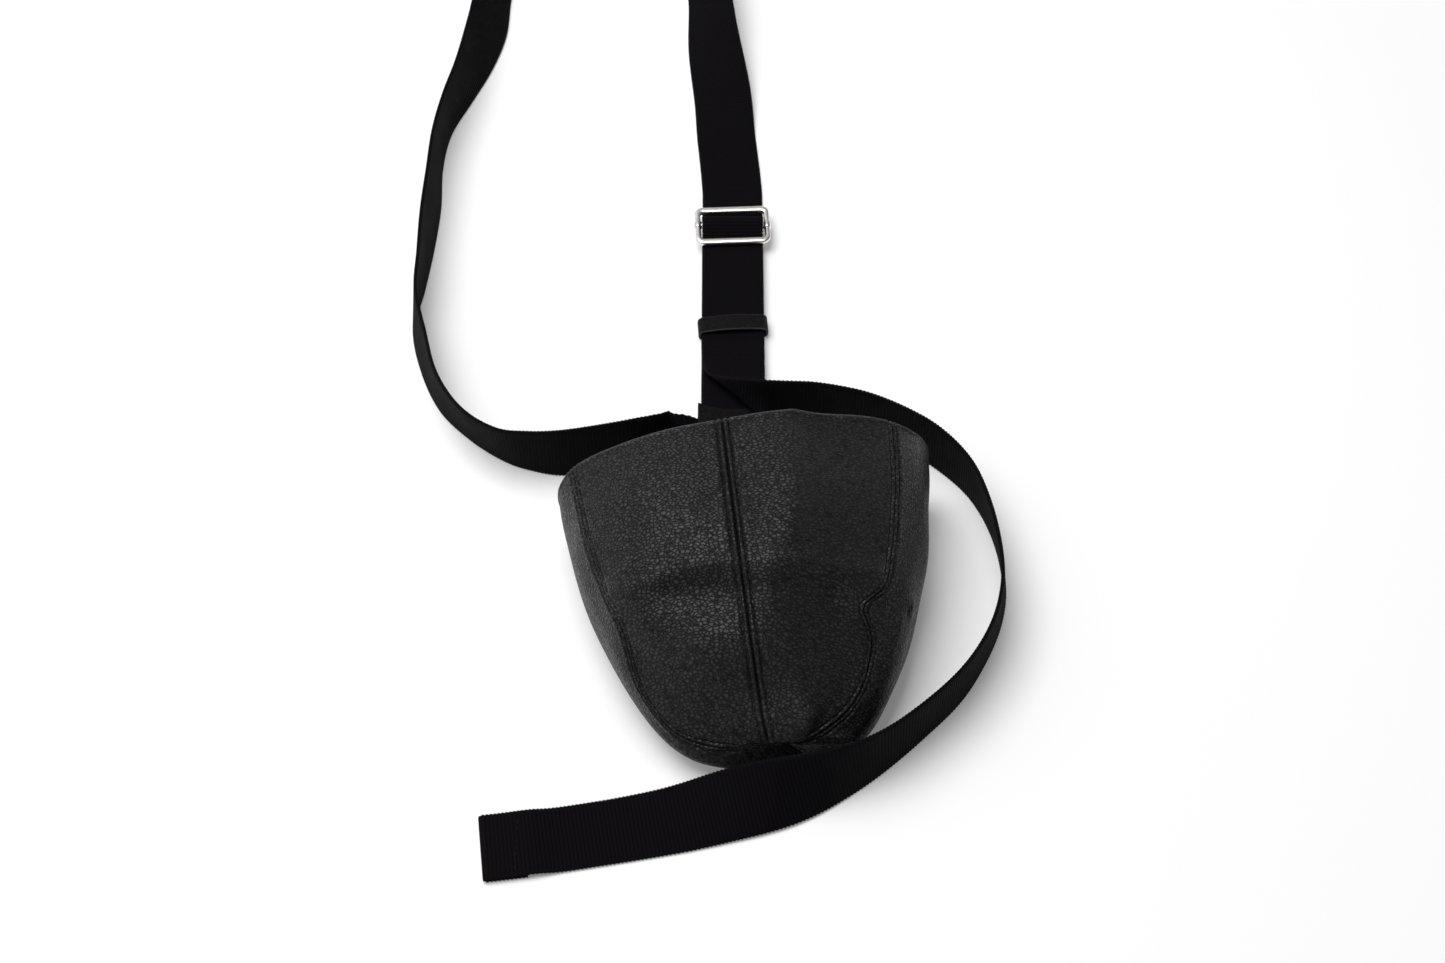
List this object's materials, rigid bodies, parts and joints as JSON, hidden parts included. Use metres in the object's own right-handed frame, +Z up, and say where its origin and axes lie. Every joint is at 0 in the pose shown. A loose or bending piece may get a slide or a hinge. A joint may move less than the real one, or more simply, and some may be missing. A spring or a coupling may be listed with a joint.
{
  "type": "cupped leather patch with strap",
  "caption": "Deep leather cup sewn from gores, on an adjustable ribbed webbing strap with a wire slide and a leather keeper, lying on its back.",
  "frame": {"origin": "centre of the rest face under the strap tab, on the surface the object lies on", "axes": "+Y along the straight strap, away from the cup; +Z up, out of the surface it lies on; +X to the right, seen from the cup's closed end"},
  "size_m": [0.2755, 0.604, 0.0765],
  "materials": {
    "leather": "pebbled, satin",
    "webbing": "cross-ribbed cotton",
    "thread": "twisted",
    "nickel": "polished nickel plate"
  },
  "bodies": {
    "patch": {"front_left_panel": "leather", "front_right_panel": "leather", "back_left_panel": "leather", "back_right_panel": "leather", "front_seam_thread": "thread", "left_seam_thread": "thread", "right_seam_thread": "thread", "back_seam_thread": "thread", "tab_outer_ply": "leather", "tab_inner_ply": "leather", "tab_thread": "thread", "long_strap": "webbing", "hem_thread": "thread", "short_strap": "webbing", "short_strap_thread": "thread"},
    "slide": {"slide_frame": "nickel", "slide_bar": "nickel"},
    "keeper": {"keeper_band": "leather", "keeper_thread": "thread"}
  },
  "joints": [
    {"name": "slide_tilt", "type": "hinge", "parent": "patch", "child": "slide", "pos_m": [0, 0.165, 0.0068], "axis": [-1, 0, 0], "range_deg": [0, 15]},
    {"name": "keeper_slide", "type": "slide", "parent": "patch", "child": "keeper", "axis": [0, 1, 0], "range_m": [0, 0.028]}
  ]
}
